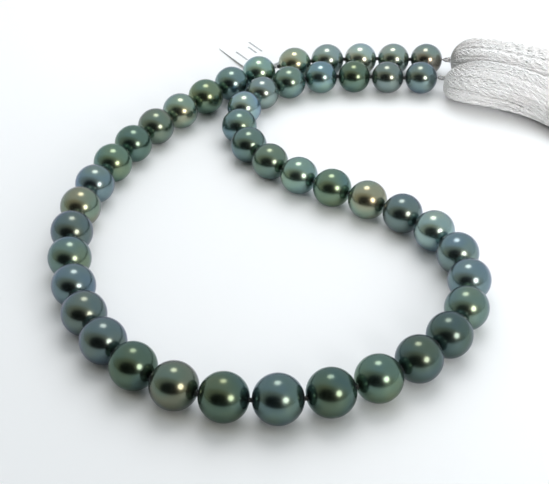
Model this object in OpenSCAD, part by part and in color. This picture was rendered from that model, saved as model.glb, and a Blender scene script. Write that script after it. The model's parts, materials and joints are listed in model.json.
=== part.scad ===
// Graduated strand of dark pearls, laid on a table as an open loop with its two
// end rows side by side. Each end has a small loop of coiled wire with a silk
// tassel tied in it, and a card tag hangs on a string near the back end.
// The strand is counted from its front end: pearl 1 is the front row's last one.

/* [Pearls] */
// Diameter of the centre pearl
centre_pearl_d = 11; // [10.5:0.1:11.3]
// Diameter of the pearls at both ends
end_pearl_d = 8.7; // [8.4:0.1:8.9]
// How quickly the sizes fall towards the front end, where 1 is an even fall
front_falloff = 1.6; // [1.2:0.1:2]
// How quickly the sizes fall towards the back end
back_falloff = 1.2; // [1:0.1:1.6]
// How far one pearl may be from the even graduation
size_scatter = 0.06; // [0:0.01:0.1]
// Diameter of the drilled hole
bore_d = 0.8; // [0.7:0.05:0.9]
// Diameter of the countersink at both ends of the hole
mouth_d = 1.6; // [1.4:0.1:1.8]

/* [Thread] */
// Thread between two neighbouring pearls, where the knot sits
knot_gap = 0.42; // [0.36:0.01:0.5]
// Diameter of the silk thread
thread_d = 0.28; // [0.2:0.02:0.36]
// Diameter of a knot
knot_d = 1.1; // [0.9:0.05:1.2]
// Length of bare thread that the tag's string goes round
tag_gap = 1.6; // [1.4:0.1:1.8]

/* [End loops] */
// Radius of a wire loop, to the middle of its coil
loop_r = 0.75; // [0.72:0.01:0.8]
// Outside diameter of the coiled wire
coil_d = 0.64; // [0.6:0.01:0.66]
// Inside diameter of the coiled wire
coil_bore_d = 0.4; // [0.36:0.01:0.42]

/* [Tassels] */
// Diameter of the tie that holds a tassel in its loop
tie_d = 0.56; // [0.5:0.02:0.6]
// Radius of the tie where it turns round the loop
tie_r = 0.75; // [0.73:0.01:0.77]

/* [Tag] */
// Width of the card
tag_w = 11.5; // [10:0.5:12]
// Length of the card
tag_l = 18; // [16:0.5:19]
// Thickness of the card
tag_t = 0.3; // [0.2:0.05:0.35]
// Diameter of the punched hole
tag_hole_d = 2; // [1.8:0.1:2.2]
// Diameter of the tag's string
string_d = 0.34; // [0.3:0.02:0.36]

/* [Hidden] */
pearl_count = 45;
centre_pearl = 23;
tag_pearl = 40; // the tag's string goes round the thread after this pearl

// Where the middle of the whole model is on the table as the route is drawn
middle = [24.5, 16];

// The strand's route on the table, from the front end to the back end.
// The first and last points only give the ends their direction.
route_points = [
    [64, 70], [54, 70], [40, 70], [27, 70.4], [15, 70.8], [5, 68.4], [-4, 61.8],
    [-9, 52.5], [-9.5, 43.5], [-5.5, 33], [2, 24.8], [12, 17.3], [23, 10.7],
    [33, 3.6], [40.7, -6], [44.4, -17.5], [43.8, -29], [39.5, -39.5], [32, -48.6],
    [20.5, -56.8], [6.5, -62], [-5, -62.8], [-16.5, -60.4], [-26.5, -55],
    [-35.5, -46], [-41.5, -35.5], [-45.8, -22.5], [-48, -8], [-47.2, 7],
    [-43, 21.5], [-36.3, 36], [-27.3, 49.5], [-17.5, 60.5], [-9.3, 69],
    [0.8, 75.8], [12, 79.3], [24, 80.3], [38, 80.2], [54, 79.6], [64, 79.5],
];
// The point where the knot in front of the centre pearl lies
start_point = 20;
steps = 10; // straight steps between two route points

// Cross-sections of the two tassels, each measured from the middle of its loop:
// x, y, height above the table, half width, half height, heading in degrees
front_sections = [
    [1.3, -0.3, 4.2, 1.3, 1.3, -10], [1.6, -1, 4.3, 2.7, 2.6, -30],
    [2.5, -2.3, 4.7, 4.2, 4.1, -38], [4.4, -3.8, 5.4, 5.8, 5.2, -35],
    [7.8, -5.4, 6.1, 6.8, 5.9, -25], [12.8, -7, 6.2, 7.2, 6.1, -18],
    [18.8, -9, 5.9, 7.6, 5.8, -22], [25.3, -12.4, 5.3, 8, 5.2, -32],
    [31.3, -17.2, 4.7, 8.4, 4.6, -44], [36.3, -23, 4.1, 8.8, 4, -54],
    [40.3, -29, 3.4, 9, 3.3, -61], [43.3, -35, 2.8, 8.8, 2.7, -65],
];
back_sections = [
    [1.3, -0.1, 4.2, 1.3, 1.3, 0], [1.6, -0.4, 4.4, 2.6, 2.6, -5],
    [2.6, -0.8, 4.9, 4.1, 4.1, -8], [4.9, -1.2, 5.5, 5.3, 5.3, -8],
    [8.6, -1.9, 5.9, 5.8, 5.8, -9], [14, -2.8, 5.8, 6, 5.7, -10],
    [21, -4.2, 5.4, 6.2, 5.3, -13], [29, -6.4, 5, 6.4, 4.9, -18],
    [37, -9.8, 4.5, 6.7, 4.4, -26], [44, -14.2, 3.9, 6.9, 3.8, -35],
    [49.5, -19, 3.2, 6.8, 3.1, -42],
];
section_sides = 28;

// The tag: the middle of its hole as the route is drawn, its heading, and its slope
tag_hole_at = [-3, 84.3];
tag_heading = 123;
tag_slope = 2.6;
tag_edge = 2.4;   // from the middle of the hole to the card's near edge
tag_lift = 0.75;  // underside of the card at its hole
tag_corner_r = 1.5;

// The tag string's route: distance from the strand's thread, and height
string_points = [
    [-0.42, 4.5], [0.05, 4.92], [0.9, 4.6], [2.4, 3.7], [4.2, 2.6], [6, 1.85],
    [7.4, 1.55], [8.4, 1.4], [8.85, 1], [8.5, 0.55], [7.6, 0.4], [6.2, 0.4],
    [4.6, 1.1], [2.9, 2.5], [1.3, 3.75], [0.3, 4.08],
];
string_sides = 8;

pearl_colours = ["#3f4a45", "#34423c", "#4a5557", "#3d4a40", "#4b4f48", "#39474a", "#54564a"];

// ---- sizes and places along the strand ----

// A pearl's diameter, to the nearest twentieth of a millimetre
function pearl_d(i) =
    let (t = 1 - abs(i - centre_pearl) / (centre_pearl - 1))
    let (falloff = i < centre_pearl ? front_falloff : back_falloff)
    let (even = end_pearl_d + (centre_pearl_d - end_pearl_d) * pow(t, falloff))
    round((even + size_scatter * sin(97 * i)) / 0.05) * 0.05;

// A point on the smooth curve through four neighbouring points, between the middle two
function curve(p, i, t) =
    0.5 * (2 * p[i] + (p[i + 1] - p[i - 1]) * t
        + (2 * p[i - 1] - 5 * p[i] + 4 * p[i + 1] - p[i + 2]) * t * t
        + (3 * p[i] - p[i - 1] - 3 * p[i + 1] + p[i + 2]) * t * t * t);

route = [for (i = [1:len(route_points) - 3]) for (k = [0:steps - 1]) curve(route_points, i, k / steps)];
start = (start_point - 1) * steps;
back_route = [for (i = [start:len(route) - 1]) route[i]];
front_route = [for (i = [start:-1:0]) route[i]];

// Where a straight stretch of the given length, from a point before a-b, ends on a-b
function meet(from, a, b, length) =
    let (u = b - a, w = a - from)
    let (q = (u * w) / (u * u), c = (w * w - length * length) / (u * u))
    a + u * (sqrt(q * q - c) - q);

// The next knot along a line of points: [point, index on the line]
function step_to(line, from, length, i) =
    norm(line[i + 1] - from) >= length
        ? [meet(from, line[i], line[i + 1], length), i]
        : step_to(line, from, length, i + 1);

function walk(line, lengths, n = 0, at = undef, i = 0) =
    let (here = n == 0 ? line[0] : at)
    n == len(lengths)
        ? [here]
        : let (next = step_to(line, here, lengths[n], i))
          concat([here], walk(line, lengths, n + 1, next[0], next[1]));

front_lengths = [for (i = [centre_pearl - 1:-1:1]) pearl_d(i) + knot_gap];
back_lengths = [
    for (i = [centre_pearl:pearl_count]) each
        i == tag_pearl ? [pearl_d(i) + knot_gap, tag_gap] : [pearl_d(i) + knot_gap]
];
front_walk = walk(front_route, front_lengths);
back_walk = walk(back_route, back_lengths);

// Every knot on the table, from the front end to the back end
knots = [
    for (i = [len(front_walk) - 1:-1:1]) front_walk[i] - middle,
    for (p = back_walk) p - middle,
];

// A pearl lies between the knots first_knot(i) and the next one
function first_knot(i) = i <= tag_pearl ? i - 1 : i;
function next_pearl(k) = k <= tag_pearl ? min(k + 1, pearl_count) : min(k, pearl_count);
function last_pearl(k) = k <= tag_pearl ? max(k, 1) : k - 1;
function knot_z(k) = (pearl_d(last_pearl(k)) + pearl_d(next_pearl(k))) / 4;
function knot(k) = [knots[k].x, knots[k].y, knot_z(k)];
last_knot = len(knots) - 1;

function heading(v) = atan2(v.y, v.x);
function tilt(v) = -atan2(v.z, norm([v.x, v.y]));

// The middles of the two wire loops
loop_out = loop_r + coil_d / 2 + 0.03; // from the end knot to the middle of the loop
front_loop_at = knot(0) + [loop_out, 0, 0];
back_loop_at = knot(last_knot) + [loop_out, 0, 0];

// ---- shared shapes ----

// Puts a piece that runs along +X from a to b
module along(a, b) {
    translate(a) rotate([0, tilt(b - a), heading(b - a)]) children();
}

// A rod along +X
module rod(d, length) {
    rotate([0, 90, 0]) cylinder(d = d, h = length, $fn = 24);
}

// A round ring in the plane of the table
module ring(r, d) {
    rotate_extrude($fn = 64) translate([r, 0]) circle(d = d, $fn = 24);
}

// Joins rings of points, all with the same number of sides, into one solid
module skin(rings, closed = false) {
    n = len(rings);
    s = len(rings[0]);
    spans = closed ? n : n - 1;
    walls = [
        for (i = [0:spans - 1]) for (k = [0:s - 1])
            let (a = i * s, b = ((i + 1) % n) * s, m = (k + 1) % s)
            [a + k, a + m, b + m, b + k]
    ];
    caps = closed ? [] : [[for (k = [s - 1:-1:0]) k], [for (k = [0:s - 1]) (n - 1) * s + k]];
    polyhedron([for (r = rings) each r], concat(walls, caps), convexity = 6);
}

// ---- the pieces ----

// One pearl: a drilled bead with a countersink at both ends of its hole
module pearl(i) {
    r = pearl_d(i) / 2;
    a = knot(first_knot(i));
    b = knot(first_knot(i) + 1);
    bore_r = bore_d / 2;
    sink_r = mouth_d / 2;
    color(pearl_colours[i % len(pearl_colours)])
    translate([(a.x + b.x) / 2, (a.y + b.y) / 2, r])
    rotate([0, 90 + tilt(b - a), heading(b - a)])
    rotate_extrude($fn = 96) difference() {
        circle(r = r, $fn = 96);
        translate([bore_r - 2 * r, -2 * r]) square([2 * r, 4 * r]);
        for (side = [-1, 1])
            polygon([[0, side * (r - sink_r)], [2 * sink_r, side * (r + sink_r)], [0, side * (r + sink_r)]]);
    }
}

// A straight run of thread that stops short of both its ends, inside the knots
module thread_run(a, b, short_a, short_b) {
    u = (b - a) / norm(b - a);
    along(a + u * short_a, b) rod(thread_d, norm(b - a) - short_a - short_b);
}

// The silk thread from one wire loop to the other, with a knot beside each pearl
module silk_thread() {
    inside = 0.22;
    bend_inside = 0.05;
    color("#2b2f2c") union() {
        for (k = [0:last_knot - 1])
            thread_run(knot(k), knot(k + 1), k == 0 ? bend_inside : inside,
                k == last_knot - 1 ? bend_inside : inside);
        for (k = [1:last_knot - 1])
            translate(knot(k)) rotate([0, 0, heading(knots[k + 1] - knots[k - 1]) + 90])
            sphere(d = knot_d, $fn = 32);
        for (k = [0, last_knot]) translate(knot(k)) {
            rotate([0, 0, 90]) sphere(d = thread_d + 0.08, $fn = 32);
            translate([bend_inside, 0, 0]) rod(thread_d, loop_out - loop_r - bend_inside);
            translate([loop_out, 0, 0]) ring(loop_r, thread_d);
        }
    }
}

// A loop of coiled wire: the thread runs inside it
module end_loop(at) {
    stub = loop_out - loop_r;
    color("#d9dbdd")
    translate(at) difference() {
        union() {
            ring(loop_r, coil_d);
            translate([-loop_out + 0.02, 0, 0]) rod(coil_d, stub);
        }
        ring(loop_r, coil_bore_d);
        translate([-loop_out - 0.1, 0, 0]) rod(coil_bore_d, stub + 0.1);
    }
}

// The turn of thread that ties a tassel into its loop
module tassel_tie(at) {
    color("#f1f1ee")
    translate(at + [loop_r, 0, 0]) rotate([90, 0, 0]) union() {
        rotate([0, 0, 90]) rotate_extrude(angle = 180, $fn = 64)
            translate([tie_r, 0]) circle(d = tie_d, $fn = 24);
        for (side = [-1, 1]) translate([0, side * tie_r, 0]) rod(tie_d, 0.9);
    }
}

// A tassel's bundle of threads, as the closed outer shape that it holds
module tassel(at, sections) {
    rings = [
        for (s = sections) [
            for (k = [0:section_sides - 1])
                let (a = 360 * k / section_sides, w = s[3] * cos(a))
                [at.x + s[0] - w * sin(s[5]), at.y + s[1] + w * cos(s[5]), s[2] + s[4] * sin(a)]
        ]
    ];
    color("#f4f3f0") skin(rings);
}

// The card tag, lying with its far end on the table
module lot_tag() {
    color("#fbfbfb")
    translate([tag_hole_at.x - middle.x, tag_hole_at.y - middle.y, tag_lift])
    rotate([0, 0, tag_heading]) rotate([0, tag_slope, 0])
    linear_extrude(tag_t) difference() {
        hull() for (x = [-tag_edge + tag_corner_r, tag_l - tag_edge - tag_corner_r])
            for (y = [-1, 1]) translate([x, y * (tag_w / 2 - tag_corner_r)])
            circle(r = tag_corner_r, $fn = 32);
        circle(d = tag_hole_d, $fn = 48);
    }
}

// The tag's string, a closed loop round the strand's thread and through the card
module tag_string() {
    a = knots[tag_pearl];
    b = knots[tag_pearl + 1];
    foot = (a + b) / 2;
    lift = knot_z(tag_pearl) - 4.5;
    out = heading(tag_hole_at - middle - foot);
    n = len(string_points);
    line = [
        for (i = [0:n - 1]) for (k = [0:1])
            curve([for (m = [-1:2]) string_points[(i + m + n) % n]], 1, k / 2)
    ];
    c = len(line);
    rings = [
        for (i = [0:c - 1])
            let (u = line[(i + 1) % c] - line[(i + c - 1) % c], side = [-u.y, u.x] / norm(u))
            [
                for (k = [0:string_sides - 1])
                    let (a = 360 * k / string_sides)
                    let (p = line[i] + side * cos(a) * string_d / 2, y = sin(a) * string_d / 2)
                    let (z = p.y + lift * max(0, p.y - 1) / 3.5)
                    [
                        foot.x + p.x * cos(out) - y * sin(out),
                        foot.y + p.x * sin(out) + y * cos(out),
                        z
                    ]
            ]
    ];
    color("#efefec") skin(rings, closed = true);
}

function pearl_name(i) = str("pearl_", i < 10 ? "0" : "", i);

for (i = [1:pearl_count])
    pearl(i);
silk_thread();
end_loop(front_loop_at);  // front_end_loop
end_loop(back_loop_at);  // back_end_loop
tassel_tie(front_loop_at);  // front_tassel_tie
tassel_tie(back_loop_at);  // back_tassel_tie
tassel(front_loop_at, front_sections);  // front_tassel
tassel(back_loop_at, back_sections);  // back_tassel
lot_tag();
tag_string();
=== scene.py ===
"""The looks of the pearl strand: nacre pearls, knotted silk, coiled wire loops, silk tassels and a tag."""
import json
import math

import bpy
import numpy as np
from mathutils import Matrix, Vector


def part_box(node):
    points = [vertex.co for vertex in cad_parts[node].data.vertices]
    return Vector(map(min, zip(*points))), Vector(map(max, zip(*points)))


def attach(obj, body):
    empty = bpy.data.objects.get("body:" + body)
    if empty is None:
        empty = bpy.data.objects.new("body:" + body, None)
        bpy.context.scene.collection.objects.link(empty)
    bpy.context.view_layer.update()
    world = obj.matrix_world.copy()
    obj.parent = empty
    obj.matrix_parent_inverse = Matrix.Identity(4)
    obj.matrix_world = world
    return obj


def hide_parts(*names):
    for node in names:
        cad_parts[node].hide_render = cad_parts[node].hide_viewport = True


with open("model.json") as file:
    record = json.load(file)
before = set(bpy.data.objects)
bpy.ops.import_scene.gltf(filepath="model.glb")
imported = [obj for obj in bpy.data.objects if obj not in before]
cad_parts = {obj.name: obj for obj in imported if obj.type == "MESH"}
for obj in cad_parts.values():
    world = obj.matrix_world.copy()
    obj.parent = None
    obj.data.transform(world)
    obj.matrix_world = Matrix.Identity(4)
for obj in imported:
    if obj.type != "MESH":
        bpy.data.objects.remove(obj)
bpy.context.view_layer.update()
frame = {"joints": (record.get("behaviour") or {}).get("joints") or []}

MM = 0.001
PEARLS = 45
TAG_PEARL = 40           # the tag's string goes round the thread after this pearl
BORE_R = 0.4 * MM
MOUTH_R = 0.8 * MM
KNOT_D = 1.1 * MM
THREAD_R = 0.14 * MM
LOOP_R = 0.75 * MM
LOOP_OUT = 1.1 * MM      # from the end knot to the middle of a wire loop
COIL_R = 0.32 * MM
CAMERA_TARGET = np.array([-24.5, -16.0, 0.0]) * MM
TASSEL_TARGET = np.array([68.0, 44.0, 6.0]) * MM
CAMERA_ELEVATION = math.radians(36.2)
CAMERA_DISTANCE = 383.4 * MM
CAMERA_LENS = 104.95
SEED = 7


# ---- camera, floor and light ----

def look_from(direction, distance, target):
    """A place in that direction from the target, and the turn that faces the target."""
    way = np.array(direction, float)
    way /= np.linalg.norm(way)
    turn = Vector(way).to_track_quat("Z", "Y").to_euler()
    return target + way * distance, turn


def add_camera():
    data = bpy.data.cameras.new("camera")
    data.lens = CAMERA_LENS
    data.sensor_width = 36.0
    data.clip_start = 0.01
    data.clip_end = 20.0
    camera = bpy.data.objects.new("camera", data)
    way = (0, -math.cos(CAMERA_ELEVATION), math.sin(CAMERA_ELEVATION))
    camera.location, camera.rotation_euler = look_from(way, CAMERA_DISTANCE, CAMERA_TARGET)
    bpy.context.collection.objects.link(camera)
    bpy.context.scene.camera = camera


def add_lamp(name, direction, distance, size, radiance, colour, aim=CAMERA_TARGET,
             spread=180, mirrored=True):
    """A round soft lamp: one that shiny surfaces mirror, or one that only lights matt ones."""
    data = bpy.data.lights.new(name, "AREA")
    data.shape = "DISK"
    data.size = size
    data.energy = radiance * math.pi * math.pi * (size / 2) ** 2
    data.color = colour
    data.spread = math.radians(spread)
    lamp = bpy.data.objects.new(name, data)
    lamp.visible_camera = False
    lamp.visible_glossy = mirrored
    lamp.visible_diffuse = not mirrored
    lamp.location, lamp.rotation_euler = look_from(direction, distance, aim)
    bpy.context.collection.objects.link(lamp)


def add_lamps():
    """Two lamps for the pearls' highlights, and two fills for the paper and the white silk."""
    warm = (1.0, 0.80, 0.70)
    cool = (0.97, 0.99, 1.0)
    add_lamp("overhead_lamp", (-0.03, 0.365, 0.93), 0.6, 0.24, 5.0, warm)
    add_lamp("front_lamp", (0.50, -0.72, 0.477), 0.6, 0.24, 10.0, warm)
    add_lamp("back_fill", (0.12, 0.55, 0.80), 0.45, 0.42, 2.4, cool, mirrored=False)
    add_lamp("tassel_fill", (0.42, -0.85, 0.32), 0.30, 0.24, 1.0, cool, aim=TASSEL_TARGET,
             spread=52, mirrored=False)


OPENING_FACES = (-0.31, -0.87, 0.37)
OPENING_WIDE = 1.12
OPENING_TALL = 0.84
# The tent's colour from the middle of its opening outwards: dark room, its warm edge, white cloth
TENT_STOPS = [(0.48, (0.004, 0.005, 0.005)), (0.80, (0.60, 0.57, 0.46)), (1.0, (0.90, 0.97, 1.02))]
TENT_STRENGTH = 0.84


def tent_math(tree, operation, a, b=None):
    """A Math node of the world's tree, fed by numbers or by other nodes."""
    node = tree.nodes.new("ShaderNodeMath")
    node.operation = operation
    for socket, value in zip(node.inputs, (a, b)):
        if isinstance(value, (int, float)):
            socket.default_value = value
        elif value is not None:
            tree.links.new(value, socket)
    return node.outputs[0]


def away_from_opening(tree):
    """0 in the middle of the tent's opening, 1 at its edge, and more on the far side."""
    place = tree.nodes.new("ShaderNodeTexCoord")
    turn = tree.nodes.new("ShaderNodeMapping")
    turn.vector_type = "TEXTURE"
    _, facing = look_from(OPENING_FACES, 1.0, np.zeros(3))
    turn.inputs["Rotation"].default_value = facing
    tree.links.new(place.outputs["Generated"], turn.inputs["Vector"])
    split = tree.nodes.new("ShaderNodeSeparateXYZ")
    tree.links.new(turn.outputs["Vector"], split.inputs["Vector"])
    wide = tent_math(tree, "DIVIDE", split.outputs["X"], OPENING_WIDE)
    tall = tent_math(tree, "DIVIDE", split.outputs["Y"], OPENING_TALL)
    squares = tent_math(tree, "ADD", tent_math(tree, "MULTIPLY", wide, wide),
                        tent_math(tree, "MULTIPLY", tall, tall))
    away = tent_math(tree, "SQRT", squares)
    behind = tent_math(tree, "LESS_THAN", split.outputs["Z"], 0.0)
    return tent_math(tree, "ADD", away, tent_math(tree, "MULTIPLY", behind, 4.0))


def add_tent():
    """A white light tent all round, with the dark room showing through its open front."""
    world = bpy.data.worlds.new("light_tent")
    bpy.context.scene.world = world
    world.use_nodes = True
    tree = world.node_tree
    tree.nodes.clear()
    ramp = tree.nodes.new("ShaderNodeValToRGB")
    ramp.color_ramp.interpolation = "EASE"
    elements = ramp.color_ramp.elements
    elements.new(0.80)
    for element, (position, colour) in zip(elements, TENT_STOPS):
        element.position = position
        element.color = (*colour, 1)
    tree.links.new(away_from_opening(tree), ramp.inputs["Fac"])
    light = tree.nodes.new("ShaderNodeBackground")
    light.inputs["Strength"].default_value = TENT_STRENGTH
    tree.links.new(ramp.outputs["Color"], light.inputs["Color"])
    out = tree.nodes.new("ShaderNodeOutputWorld")
    tree.links.new(light.outputs[0], out.inputs["Surface"])


def add_floor():
    """A plain sheet of pale paper."""
    half = 1.5
    data = bpy.data.meshes.new("floor")
    data.from_pydata([(-half, -half, 0), (half, -half, 0), (half, half, 0), (-half, half, 0)],
                     [], [(0, 1, 2, 3)])
    floor = bpy.data.objects.new("floor", data)
    bpy.context.collection.objects.link(floor)
    floor.data.materials.append(paper_material("floor_paper", (0.93, 0.93, 0.94), 0.6, 0.00002))


# ---- materials ----

class Nodes:
    """A material's node tree with a Principled shader, and short ways to add to it."""

    def __init__(self, name):
        self.material = bpy.data.materials.new(name)
        self.material.use_nodes = True
        self.tree = self.material.node_tree
        self.shader = self.tree.nodes["Principled BSDF"]
        self.place = self.add("ShaderNodeTexCoord").outputs["Object"]

    def add(self, kind, links=(), **values):
        node = self.tree.nodes.new(kind)
        for key, value in values.items():
            if key in node.inputs:
                node.inputs[key].default_value = value
            else:
                setattr(node, key, value)
        for socket, source in links:
            self.tree.links.new(source, node.inputs[socket])
        return node

    def set(self, **values):
        for key, value in values.items():
            self.shader.inputs[key.replace("_", " ")].default_value = value

    def noise(self, scale, detail=2.0, roughness=0.5, offset=0.0, distortion=0.0):
        node = self.add("ShaderNodeTexNoise", [("Vector", self.place)], noise_dimensions="4D",
                        Scale=scale, Detail=detail, Roughness=roughness, W=offset)
        node.inputs["Distortion"].default_value = distortion
        return node.outputs["Fac"]

    def ramp(self, source, stops):
        node = self.add("ShaderNodeValToRGB", [("Fac", source)])
        elements = node.color_ramp.elements
        while len(elements) < len(stops):
            elements.new(0.5)
        for element, (position, colour) in zip(elements, stops):
            element.position = position
            element.color = (*colour, 1)
        return node.outputs["Color"]

    def range(self, source, low, high, from_low=0.3, from_high=0.7):
        node = self.add("ShaderNodeMapRange", [("Value", source)])
        for key, value in (("From Min", from_low), ("From Max", from_high),
                           ("To Min", low), ("To Max", high)):
            node.inputs[key].default_value = value
        return node.outputs["Result"]

    def bump(self, source, distance, strength=1.0, under=None):
        links = [("Height", source)]
        if under is not None:
            links.append(("Normal", under))
        node = self.add("ShaderNodeBump", links, Strength=strength, Distance=distance)
        return node.outputs["Normal"]

    def link(self, source, socket):
        self.tree.links.new(source, self.shader.inputs[socket])


def paper_material(name, colour, roughness, grain):
    """Paper with a fine grain and a faint unevenness."""
    nodes = Nodes(name)
    fibre = nodes.noise(2500, 4, 0.6)
    shade = nodes.noise(9, 2)
    dim = tuple(c * 0.985 for c in colour)
    nodes.link(nodes.ramp(shade, [(0.35, dim), (0.65, colour)]), "Base Color")
    nodes.link(nodes.range(fibre, roughness - 0.06, roughness + 0.06), "Roughness")
    nodes.link(nodes.bump(fibre, grain), "Normal")
    return nodes.material


# The nacre's hues, each with its mean near 1: the cool clouds, the body, the warm clouds, the edge
NACRES = {
    "green": ((0.66, 1.16, 1.10), (0.80, 1.26, 0.92), (1.02, 1.30, 0.74), (0.66, 0.72, 0.72)),
    "peacock": ((0.66, 1.06, 1.24), (0.77, 1.19, 1.04), (0.92, 1.26, 0.86), (0.68, 0.68, 0.78)),
    "teal": ((0.66, 1.02, 1.30), (0.76, 1.11, 1.13), (0.92, 1.18, 0.98), (0.72, 0.68, 0.82)),
    "silver": ((0.80, 1.08, 1.14), (0.88, 1.14, 0.99), (1.10, 1.06, 0.88), (0.72, 0.67, 0.76)),
    "olive": ((0.78, 1.14, 1.06), (0.88, 1.20, 0.92), (1.12, 1.14, 0.78), (0.70, 0.66, 0.74)),
}
# How bright each pearl's nacre is, from the darkest to the palest
DARK, DEEP, MIDDLE, CLEAR, PALE, LIGHT, PALEST = 0.108, 0.148, 0.180, 0.220, 0.275, 0.340, 0.430
# Each pearl's hue and brightness, from the front end to the back end
STRAND = [
    ("teal", CLEAR), ("silver", CLEAR), ("green", DEEP), ("peacock", PALE), ("peacock", CLEAR),
    ("silver", PALE), ("teal", LIGHT), ("peacock", CLEAR), ("peacock", MIDDLE), ("peacock", MIDDLE),
    ("peacock", PALE), ("green", MIDDLE), ("olive", PALE), ("teal", MIDDLE), ("teal", LIGHT),
    ("teal", CLEAR), ("teal", CLEAR), ("peacock", MIDDLE), ("peacock", DARK), ("peacock", DARK),
    ("green", DEEP), ("green", DARK), ("peacock", DEEP), ("green", DARK), ("olive", DEEP),
    ("green", DARK), ("teal", DEEP), ("teal", DEEP), ("teal", MIDDLE), ("peacock", MIDDLE),
    ("teal", DEEP), ("olive", CLEAR), ("teal", CLEAR), ("green", MIDDLE), ("green", DEEP),
    ("olive", MIDDLE), ("olive", PALE), ("green", MIDDLE), ("peacock", CLEAR), ("peacock", LIGHT),
    ("olive", LIGHT), ("silver", LIGHT), ("silver", PALEST), ("silver", LIGHT), ("silver", PALE),
]


def nacre_material(number):
    """Nacre: a dark mirror-like body with soft clouds of a second colour and a paler edge."""
    hue, level = STRAND[number - 1]
    cool, body, warm, edge = NACRES[hue]
    cool, body, warm = ([c * level for c in colour] for colour in (cool, body, warm))
    nodes = Nodes(f"nacre_{number:02d}")
    cloud = nodes.noise(85, 2.0, 0.45, offset=number * 1.7, distortion=0.5)
    nodes.link(nodes.ramp(cloud, [(0.32, cool), (0.50, body), (0.68, warm)]), "Base Color")
    haze = nodes.noise(260, 3, 0.5, offset=number * 0.9)
    nodes.link(nodes.range(haze, 0.20, 0.26), "Roughness")
    peel = nodes.bump(nodes.noise(700, 3, 0.5, offset=number), 0.0000025)
    pits = nodes.add("ShaderNodeTexVoronoi", [("Vector", nodes.place)], Scale=330)
    pit_depth = nodes.range(pits.outputs["Distance"], 0.0, 1.0, 0.02, 0.10)
    nodes.link(nodes.bump(pit_depth, 0.000012, 0.35, under=peel), "Normal")
    nodes.set(Metallic=0.96, Coat_Weight=0.22, Coat_Roughness=0.10, Coat_IOR=1.5)
    nodes.set(Sheen_Weight=0.07, Sheen_Roughness=0.35)
    nodes.shader.inputs["Sheen Tint"].default_value = (0.66, 0.60, 0.74, 1)
    nodes.shader.inputs["Specular Tint"].default_value = (*edge, 1)
    return nodes.material


def silk_material(name, colour, fine_scale, sheen):
    """Silk thread, with fine fibres and a faint second shade."""
    nodes = Nodes(name)
    strands = nodes.noise(fine_scale, 3, 0.6)
    cloud = nodes.noise(120, 2, 0.5, offset=3)
    dark = tuple(c * 0.96 for c in colour)
    base = nodes.ramp(strands, [(0.3, dark), (0.62, colour)])
    warm = nodes.ramp(cloud, [(0.4, (1, 1, 1)), (0.65, (0.99, 0.97, 0.968))])
    blend = nodes.add("ShaderNodeMix", data_type="RGBA", blend_type="MULTIPLY")
    blend.inputs[0].default_value = 1.0
    nodes.tree.links.new(base, blend.inputs[6])
    nodes.tree.links.new(warm, blend.inputs[7])
    nodes.link(blend.outputs[2], "Base Color")
    nodes.link(nodes.range(strands, 0.38, 0.62), "Roughness")
    nodes.link(nodes.bump(strands, 0.00002), "Normal")
    nodes.set(Sheen_Weight=sheen, Sheen_Roughness=0.35)
    return nodes.material


def wire_material():
    """Silver wire, a little tarnished."""
    nodes = Nodes("silver_wire")
    tarnish = nodes.noise(1500, 3, 0.6)
    nodes.link(nodes.ramp(tarnish, [(0.35, (0.62, 0.62, 0.62)), (0.6, (0.86, 0.86, 0.87))]), "Base Color")
    nodes.link(nodes.range(tarnish, 0.16, 0.30), "Roughness")
    nodes.link(nodes.bump(tarnish, 0.000004), "Normal")
    nodes.set(Metallic=1.0)
    return nodes.material


# ---- mesh building ----

def add_piece(name, parts, material, body, replaces, smooth=True):
    """One mesh object from a list of (points, faces) parts, riding on a body."""
    points = []
    faces = []
    for part_points, part_faces in parts:
        first = len(points)
        points.extend(np.asarray(part_points).tolist())
        faces.extend([[first + i for i in face] for face in part_faces])
    data = bpy.data.meshes.new(name)
    data.from_pydata(points, [], faces)
    data.validate()
    data.update()
    if smooth:
        data.polygons.foreach_set("use_smooth", [True] * len(data.polygons))
    data.materials.append(material)
    piece = bpy.data.objects.new(name, data)
    bpy.context.collection.objects.link(piece)
    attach(piece, body)
    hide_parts(replaces)
    return piece


def unit(v):
    v = np.asarray(v, float)
    return v / np.linalg.norm(v)


def frames(path, closed=False):
    """Two directions across a path at each of its points, turning as little as they can."""
    path = np.asarray(path, float)
    if closed:
        ahead = np.roll(path, -1, 0) - np.roll(path, 1, 0)
    else:
        ahead = np.gradient(path, axis=0)
    ahead /= np.linalg.norm(ahead, axis=1)[:, None]
    start = np.array([0, 0, 1.0]) if abs(ahead[0][2]) < 0.9 else np.array([1.0, 0, 0])
    across = unit(np.cross(ahead[0], start))
    first, second = [], []
    for way in ahead:
        across = unit(across - way * (across @ way))
        first.append(across)
        second.append(np.cross(way, across))
    return np.array(first), np.array(second)


def ring_faces(rows, sides, closed=False):
    """Four-sided faces between each ring of points and the next."""
    row = np.arange(rows if closed else rows - 1)[:, None]
    turn = np.arange(sides)[None, :]
    this = row * sides
    after = (row + 1) % rows * sides
    ahead = (turn + 1) % sides
    faces = np.stack([this + turn, this + ahead, after + ahead, after + turn], -1)
    return faces.reshape(-1, 4).tolist()


def capped(rows, sides):
    """The faces of a tube with a flat cap at both ends."""
    first_cap = list(range(sides - 1, -1, -1))
    last_cap = list(range((rows - 1) * sides, rows * sides))
    return ring_faces(rows, sides) + [first_cap, last_cap]


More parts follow.
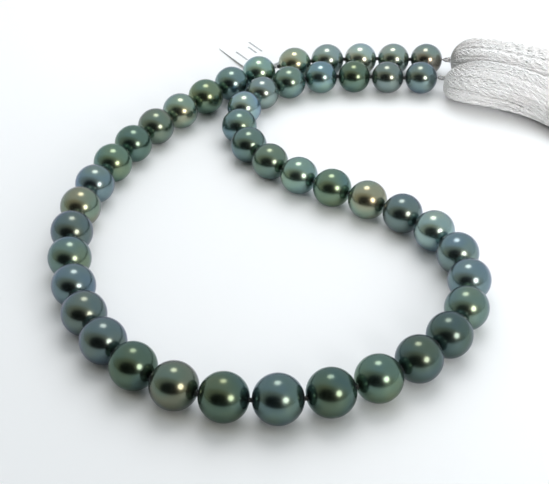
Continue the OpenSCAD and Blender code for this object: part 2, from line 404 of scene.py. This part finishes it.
def tube(path, radius, sides=8, closed=False):
    """A round tube along a path. The radius is one number or one for each point."""
    path = np.asarray(path, float)
    first, second = frames(path, closed)
    angle = np.arange(sides) * 2 * math.pi / sides
    ring = (first[:, None] * np.cos(angle)[None, :, None]
            + second[:, None] * np.sin(angle)[None, :, None])
    radius = np.broadcast_to(radius, (len(path),))
    points = (path[:, None] + ring * radius[:, None, None]).reshape(-1, 3)
    if closed:
        return points, ring_faces(len(path), sides, closed=True)
    return points, capped(len(path), sides)


def wound(path, radius, turns, phase=0.0, closed=False):
    """A path wound round another path."""
    path = np.asarray(path, float)
    first, second = frames(path, closed)
    share = np.arange(len(path)) / (len(path) if closed else len(path) - 1)
    angle = share * turns * 2 * math.pi + phase
    return path + radius * (first * np.cos(angle)[:, None] + second * np.sin(angle)[:, None])


def ply(path, radius, turns, plies=2, sides=6, closed=False):
    """A twisted thread: a few strands wound round each other."""
    strand = radius / (1 + math.sin(math.pi / plies))
    strand_r = radius - strand if plies > 2 else radius / 2
    out = radius - strand_r
    return [tube(wound(path, out, turns, p * 2 * math.pi / plies, closed), strand_r, sides, closed)
            for p in range(plies)]


def straight(a, b, count):
    share = np.linspace(0, 1, count)[:, None]
    return np.asarray(a) * (1 - share) + np.asarray(b) * share


def smooth_path(points, per_span, closed=False):
    """A smooth curve through points."""
    points = np.asarray(points, float)
    count = len(points)
    out = []
    for i in range(count if closed else count - 1):
        if closed:
            p = [points[(i + k) % count] for k in (-1, 0, 1, 2)]
        else:
            p = [points[min(max(i + k, 0), count - 1)] for k in (-1, 0, 1, 2)]
        for t in np.arange(per_span) / per_span:
            out.append(0.5 * (2 * p[1] + (p[2] - p[0]) * t
                              + (2 * p[0] - 5 * p[1] + 4 * p[2] - p[3]) * t ** 2
                              + (3 * p[1] - p[0] - 3 * p[2] + p[3]) * t ** 3))
    if not closed:
        out.append(points[-1])
    return np.array(out)


# ---- places along the strand, all from the frame ----

def pearl_name(number):
    return f"pearl_{number:02d}"


def pearl_centre(number):
    low, high = (np.array(corner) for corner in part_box(pearl_name(number)))
    centre = (low + high) / 2
    centre[2] = high[2] / 2
    return centre


def pearl_radius(number):
    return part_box(pearl_name(number))[1][2] / 2


JOINT_AT = {joint["name"]: np.array(joint["pos_m"]) for joint in frame["joints"] if "pos_m" in joint}


def pearl_ends(number):
    """The knots on a pearl's front side and back side."""
    centre = pearl_centre(number)
    if number == 1:
        front = JOINT_AT["front_loop_swing"]
    elif number <= TAG_PEARL:
        front = JOINT_AT[f"knot_{number - 1:02d}"]
    elif number == PEARLS:
        return 2 * centre - JOINT_AT["back_loop_swing"], JOINT_AT["back_loop_swing"]
    else:
        back = JOINT_AT[f"knot_{number:02d}"]
        return 2 * centre - back, back
    return front, 2 * centre - front


# ---- the pieces ----

PEARL_ROWS = 72
PEARL_SIDES = 96
OUT_OF_ROUND = 0.0016     # the most that a pearl's surface lies inside a true ball, as a share


def bead_profile(radius):
    """A bead's outline: how far along its hole and how far out from it, mouth to mouth."""
    mouth = math.asin(MOUTH_R / radius)
    depth = radius - (MOUTH_R - BORE_R) - MOUTH_R * 0.1
    turn = np.linspace(mouth, math.pi - mouth, PEARL_ROWS)
    along = np.r_[-depth, -radius * np.cos(turn), depth]
    out = np.r_[BORE_R, radius * np.sin(turn), BORE_R]
    return along, out


def add_pearl(number):
    """A bead turned about its drilled hole, a little out of round, with a countersink at both mouths."""
    centre = pearl_centre(number)
    radius = pearl_radius(number)
    front, back = pearl_ends(number)
    first, second = frames([front, back])
    along, out = bead_profile(radius)
    angle = np.arange(PEARL_SIDES) * 2 * math.pi / PEARL_SIDES
    side = first[0] * np.cos(angle)[:, None] + second[0] * np.sin(angle)[:, None]
    wave = (np.sin(2 * angle + number)[None] * np.sin(3 * along / radius + number)[:, None]
            + np.cos(3 * angle - 2 * number)[None] * np.cos(2 * along / radius)[:, None])
    shrink = 1 - OUT_OF_ROUND * (wave + 2) / 2
    points = (unit(back - front) * along[:, None, None]
              + side[None] * out[:, None, None]) * shrink[:, :, None] + centre
    rows = len(along)
    name = pearl_name(number)
    bead = (points.reshape(-1, 3), ring_faces(rows, PEARL_SIDES, closed=True))
    add_piece(f"nacre_{number:02d}", [bead], nacre_material(number), name, name)


def knot_mesh(at, along, size, turn):
    """An overhand knot pulled tight: one closed strand that crosses itself three times."""
    along = unit(along)
    first, second = frames([at, at + along])
    t = np.linspace(0, 2 * math.pi, 48, endpoint=False)
    x = (np.sin(t) + 2 * np.sin(2 * t)) / 3
    y = (np.cos(t) - 2 * np.cos(2 * t)) / 3
    z = -np.sin(3 * t)
    strand = size * 0.17
    reach = size / 2 - strand
    c, s = math.cos(turn), math.sin(turn)
    x, y = c * x - s * y, s * x + c * y
    path = (at + reach * (x[:, None] * first[0] + y[:, None] * second[0])
            + reach * 0.55 * z[:, None] * along)
    return tube(path, strand, 8, closed=True)


def add_thread(material):
    """The thread and its knots, in one piece for each pearl, so that it bends with the strand."""
    for number in range(1, PEARLS + 1):
        front, back = pearl_ends(number)
        run = straight(front, back, 70)
        parts = ply(run, THREAD_R, np.linalg.norm(back - front) / (1.1 * MM))
        if number < PEARLS:
            parts.append(knot_mesh(back, back - front, KNOT_D, number * 1.3))
        if number == TAG_PEARL:
            foot = JOINT_AT[f"knot_{TAG_PEARL:02d}"]
            parts += ply(straight(back, foot, 10), THREAD_R, 0.8)
        if number == TAG_PEARL + 1:
            foot = JOINT_AT[f"knot_{TAG_PEARL:02d}"]
            parts += ply(straight(foot, front, 10), THREAD_R, 0.8)
            parts.append(knot_mesh(front, back - front, KNOT_D, number * 1.3))
        add_piece(f"thread_{number:02d}", parts, material, pearl_name(number), "silk_thread")


def add_end_loop(side, material):
    """The end loop: fine wire wound tightly over the thread, and the thread inside it."""
    joint = JOINT_AT[f"{side}_loop_swing"]
    middle = joint + np.array([LOOP_OUT, 0, 0])
    wire_r = 0.055 * MM
    wound_r = COIL_R - wire_r
    angle = np.linspace(0, 2 * math.pi, 16 * 38, endpoint=False)
    circle = middle + LOOP_R * np.c_[np.cos(angle), np.sin(angle), 0 * angle]
    ring = tube(wound(circle, wound_r, 38, closed=True), wire_r, 6, closed=True)
    stub = straight(joint + np.array([0.05 * MM, 0, 0]), joint + np.array([LOOP_OUT - LOOP_R, 0, 0]), 48)
    neck = tube(wound(stub, wound_r, 3), wire_r, 6)
    core = ply(circle, THREAD_R, 5, closed=True)
    add_piece(f"{side}_coil", [ring, neck] + core, material, f"{side}_end_loop",
              f"{side}_end_loop")


# The tassels' cross-sections, as in the CAD: x, y and height from the middle of the wire loop,
# half width, half height and heading in degrees
FRONT_SECTIONS = [
    [1.3, -0.3, 4.2, 1.3, 1.3, -10], [1.6, -1, 4.3, 2.7, 2.6, -30],
    [2.5, -2.3, 4.7, 4.2, 4.1, -38], [4.4, -3.8, 5.4, 5.8, 5.2, -35],
    [7.8, -5.4, 6.1, 6.8, 5.9, -25], [12.8, -7, 6.2, 7.2, 6.1, -18],
    [18.8, -9, 5.9, 7.6, 5.8, -22], [25.3, -12.4, 5.3, 8, 5.2, -32],
    [31.3, -17.2, 4.7, 8.4, 4.6, -44], [36.3, -23, 4.1, 8.8, 4, -54],
    [40.3, -29, 3.4, 9, 3.3, -61], [43.3, -35, 2.8, 8.8, 2.7, -65],
]
BACK_SECTIONS = [
    [1.3, -0.1, 4.2, 1.3, 1.3, 0], [1.6, -0.4, 4.4, 2.6, 2.6, -5],
    [2.6, -0.8, 4.9, 4.1, 4.1, -8], [4.9, -1.2, 5.5, 5.3, 5.3, -8],
    [8.6, -1.9, 5.9, 5.8, 5.8, -9], [14, -2.8, 5.8, 6, 5.7, -10],
    [21, -4.2, 5.4, 6.2, 5.3, -13], [29, -6.4, 5, 6.4, 4.9, -18],
    [37, -9.8, 4.5, 6.7, 4.4, -26], [44, -14.2, 3.9, 6.9, 3.8, -35],
    [49.5, -19, 3.2, 6.8, 3.1, -42],
]


def tassel_point(rows, share, across, up):
    """Points inside a tassel: share is along it, and across and up are -1 to 1 of its section."""
    where = np.asarray(share) * (len(rows) - 1)
    values = [np.interp(where, np.arange(len(rows)), rows[:, k]) for k in range(6)]
    x, y, z, wide, high, heading = values
    heading = np.radians(heading)
    return np.stack([x - wide * across * np.sin(heading), y + wide * across * np.cos(heading),
                     z + high * up], -1)


HANKS = 3                # pieces that a tassel's threads are split into
STRANDS = 330
STRAND_STEPS = 170
SILK_R = 0.145 * MM


def silk_strand(rng, number, fine, middle):
    """One crimped thread of a tassel, from the loop to the tassel's far end."""
    share = np.linspace(0, 1, STRAND_STEPS)
    angle = 2 * math.pi * (number + rng.uniform(-0.4, 0.4)) / STRANDS * 3
    depth = 0.925 - 0.07 * (number % 3) - rng.uniform(0, 0.02)
    sway = rng.uniform(0, 2 * math.pi)
    drift = 0.10 * np.sin(share * rng.uniform(2, 5) + sway)
    crimp = 2 * math.pi * share * rng.uniform(22, 28) + sway
    swing = 0.034 * np.sin(crimp)
    lift = 0.020 * np.cos(crimp + 1.1)
    fold = 0.030 * np.cos(5 * angle + 2.5 * share) * np.sin(np.clip(share * 1.6, 0, 1) * math.pi)
    loose = np.clip(share * 1.5 - 0.5, 0, 1) * rng.uniform(-0.04, 0.0)
    reach = depth + lift + loose + fold
    round_at = angle + drift + swing
    path = tassel_point(fine, share, reach * np.cos(round_at), reach * np.sin(round_at))
    bumps = SILK_R * (1 + 0.28 * np.cos(math.pi * np.arange(STRAND_STEPS) + rng.uniform(-0.5, 0.5)))
    return tube(middle + MM * path, bumps, 3)


def silk_core(fine, middle):
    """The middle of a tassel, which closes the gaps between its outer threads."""
    sides = 40
    steps = np.linspace(0.01, 0.97, 60)
    angle = np.arange(sides) * 2 * math.pi / sides
    rings = [tassel_point(fine, np.full(sides, s), 0.76 * np.cos(angle), 0.76 * np.sin(angle))
             for s in steps]
    return middle + MM * np.concatenate(rings), capped(len(steps), sides)


def add_tassel(side, sections, material):
    """A bundle of crimped silk threads round a soft core, tied in the wire loop."""
    middle = JOINT_AT[f"{side}_loop_swing"] + np.array([LOOP_OUT, 0, 0])
    middle[2] = 0
    fine = smooth_path(np.array(sections), 4)
    rng = np.random.default_rng(SEED if side == "front" else SEED + 1)
    strands = [silk_strand(rng, number, fine, middle) for number in range(STRANDS)]
    hanks = [strands[k::HANKS] for k in range(HANKS)]
    hanks[-1].append(silk_core(fine, middle))
    for number, hank in enumerate(hanks, 1):
        add_piece(f"{side}_silk_{number}", hank, material, f"{side}_tassel",
                  f"{side}_tassel")


def add_tassel_tie(side, material):
    """The tie: several turns of silk through the wire loop, into the bundle."""
    middle = JOINT_AT[f"{side}_loop_swing"] + np.array([LOOP_OUT + LOOP_R, 0, 0])
    tie_r = 0.75 * MM
    parts = []
    for offset in (-0.17, 0.0, 0.17):
        angle = np.linspace(math.pi / 2, 3 * math.pi / 2, 24)
        bend = np.c_[tie_r * np.cos(angle), 0 * angle, tie_r * np.sin(angle)]
        top = straight((0.9 * MM, 0, tie_r), (0.05 * MM, 0, tie_r), 10)
        bottom = straight((0, 0, -tie_r), (0.9 * MM, 0, -tie_r), 10)[1:]
        path = middle + np.r_[top, bend, bottom] + np.array([0, offset * MM, 0])
        parts += ply(path, 0.10 * MM, 6, sides=6)
    add_piece(f"{side}_tie", parts, material, f"{side}_tassel", f"{side}_tassel_tie")


TAG_HEADING = math.radians(123)
TAG_SLOPE = math.radians(2.6)
TAG_LENGTH = 18 * MM
TAG_WIDTH = 11.5 * MM
TAG_EDGE = 2.4 * MM      # from the middle of the hole to the card's near edge
TAG_LIFT = 0.75 * MM     # underside of the card at its hole
TAG_HOLE_R = 1.0 * MM
TAG_CORNER_R = 1.5 * MM
TAG_THICK = 0.2 * MM
TAG_CURL = 0.1 * MM      # how far the middle of the card's width stands above its edges
# Printed bars in place of the tag's writing: how far across, where each starts, and its length
TAG_BARS = [(-3.2, 6.0, 7.0), (-1.4, 6.0, 4.5), (3.0, 4.0, 6.0)]
TAG_BAR_HALF = 0.3 * MM
# The tag string's route: distance out from the strand's thread, and height, in mm
STRING_POINTS = [
    [-0.42, 4.5], [0.05, 4.92], [0.9, 4.6], [2.4, 3.7], [4.2, 2.6], [6, 1.85],
    [7.4, 1.55], [8.4, 1.4], [8.85, 1], [8.5, 0.55], [7.6, 0.4], [6.2, 0.4],
    [4.6, 1.1], [2.9, 2.5], [1.3, 3.75], [0.3, 4.08],
]
STRING_THREAD_Z = 4.5     # height of the thread that the route is drawn for, in mm
STRING_LOW_Z = 1.0        # below this height the route isn't raised to meet the thread, in mm
STRING_R = 0.16 * MM
STRING_TWISTS = 30


def within(nodes, source, low, high):
    """1 where a value lies between two limits, and 0 elsewhere."""
    above = nodes.add("ShaderNodeMath", [(0, source)], operation="GREATER_THAN")
    above.inputs[1].default_value = low
    below = nodes.add("ShaderNodeMath", [(0, source)], operation="LESS_THAN")
    below.inputs[1].default_value = high
    return combined(nodes, "MULTIPLY", above.outputs[0], below.outputs[0])


def combined(nodes, operation, a, b):
    """A Math node of two other nodes' values."""
    return nodes.add("ShaderNodeMath", [(0, a), (1, b)], operation=operation).outputs[0]


def card_material():
    """White card with a few short printed bars in place of its writing."""
    nodes = Nodes("tag_card")
    card = nodes.add("ShaderNodeMapping", [("Vector", nodes.place)], vector_type="TEXTURE")
    hole = JOINT_AT["lot_tag_swing"]
    card.inputs["Location"].default_value = (hole[0], hole[1], 0)
    card.inputs["Rotation"].default_value = (0, 0, TAG_HEADING)
    split = nodes.add("ShaderNodeSeparateXYZ", [("Vector", card.outputs["Vector"])])
    bars = []
    for across, start, length in TAG_BARS:
        row = within(nodes, split.outputs["Y"], across * MM - TAG_BAR_HALF, across * MM + TAG_BAR_HALF)
        run = within(nodes, split.outputs["X"], start * MM, (start + length) * MM)
        bars.append(combined(nodes, "MULTIPLY", row, run))
    ink = bars[0]
    for bar in bars[1:]:
        ink = combined(nodes, "ADD", ink, bar)
    fibre = nodes.noise(2500, 4, 0.6)
    worn = combined(nodes, "MULTIPLY", ink, nodes.range(fibre, 0.45, 0.9, 0.35, 0.6))
    nodes.link(nodes.ramp(worn, [(0.0, (0.93, 0.93, 0.94)), (1.0, (0.22, 0.22, 0.23))]), "Base Color")
    nodes.link(nodes.range(fibre, 0.42, 0.55), "Roughness")
    nodes.link(nodes.bump(fibre, 0.00001), "Normal")
    return nodes.material


def card_edge():
    """The card's outline with its round corners, seen from the middle of its hole."""
    near = TAG_CORNER_R - TAG_EDGE
    far = TAG_LENGTH - TAG_EDGE - TAG_CORNER_R
    half = TAG_WIDTH / 2 - TAG_CORNER_R
    arcs = []
    for x, y, start in ((far, half, 0), (near, half, 90), (near, -half, 180), (far, -half, 270)):
        angle = np.radians(np.linspace(start, start + 90, 10))
        arcs.append(np.c_[x + TAG_CORNER_R * np.cos(angle), y + TAG_CORNER_R * np.sin(angle)])
    edge = []
    for arc, following in zip(arcs, arcs[1:] + arcs[:1]):
        edge.append(arc)
        edge.append(straight(arc[-1], following[0], 14)[1:-1])
    return np.concatenate(edge)


def add_tag():
    """The card: round corners, a punched hole, and a slight curl across its width."""
    edge = card_edge()
    hole = TAG_HOLE_R * edge / np.linalg.norm(edge, axis=1)[:, None]
    outward = np.linspace(0, 1, 14)
    rings = []
    for share, top in [(s, 1) for s in outward] + [(s, 0) for s in outward[::-1]]:
        flat = hole * (1 - share) + edge * share
        rise = TAG_CURL * (1 - (2 * flat[:, 1] / TAG_WIDTH) ** 2) + TAG_THICK * top
        rings.append(np.c_[flat, rise])
    x, y, z = np.concatenate(rings).T
    ahead = x * math.cos(TAG_SLOPE) + z * math.sin(TAG_SLOPE)
    height = z * math.cos(TAG_SLOPE) - x * math.sin(TAG_SLOPE) + TAG_LIFT
    at = JOINT_AT["lot_tag_swing"]
    points = np.c_[at[0] + ahead * math.cos(TAG_HEADING) - y * math.sin(TAG_HEADING),
                   at[1] + ahead * math.sin(TAG_HEADING) + y * math.cos(TAG_HEADING), height]
    faces = ring_faces(len(rings), len(edge), closed=True)
    add_piece("tag_card", [(points, faces)], card_material(), "lot_tag", "lot_tag",
              smooth=False)


def add_tag_string():
    """A twisted string, looped round the strand's thread and through the card."""
    foot = JOINT_AT[f"knot_{TAG_PEARL:02d}"]
    out = unit((JOINT_AT["lot_tag_swing"] - foot)[:2])
    reach, height = smooth_path(STRING_POINTS, 24, closed=True).T
    lift = foot[2] / MM - STRING_THREAD_Z
    raised = lift * np.clip(height - STRING_LOW_Z, 0, None) / (STRING_THREAD_Z - STRING_LOW_Z)
    path = np.c_[foot[0] + MM * reach * out[0], foot[1] + MM * reach * out[1], MM * (height + raised)]
    string = silk_material("tag_string", (0.90, 0.90, 0.88), 3500, 0.2)
    add_piece("tag_twine", ply(path, STRING_R, STRING_TWISTS, sides=8, closed=True), string,
              pearl_name(TAG_PEARL), "tag_string")


def main():
    add_camera()
    bpy.context.scene.view_settings.view_transform = "Standard"
    add_tent()
    add_lamps()
    add_floor()
    for number in range(1, PEARLS + 1):
        add_pearl(number)
    add_thread(silk_material("dark_silk", (0.035, 0.040, 0.037), 4000, 0.2))
    silver = wire_material()
    white = silk_material("white_silk", (0.99, 0.985, 0.983), 3000, 0.8)
    for side, sections in (("front", FRONT_SECTIONS), ("back", BACK_SECTIONS)):
        add_end_loop(side, silver)
        add_tassel(side, sections, white)
        add_tassel_tie(side, white)
    add_tag()
    add_tag_string()


main()
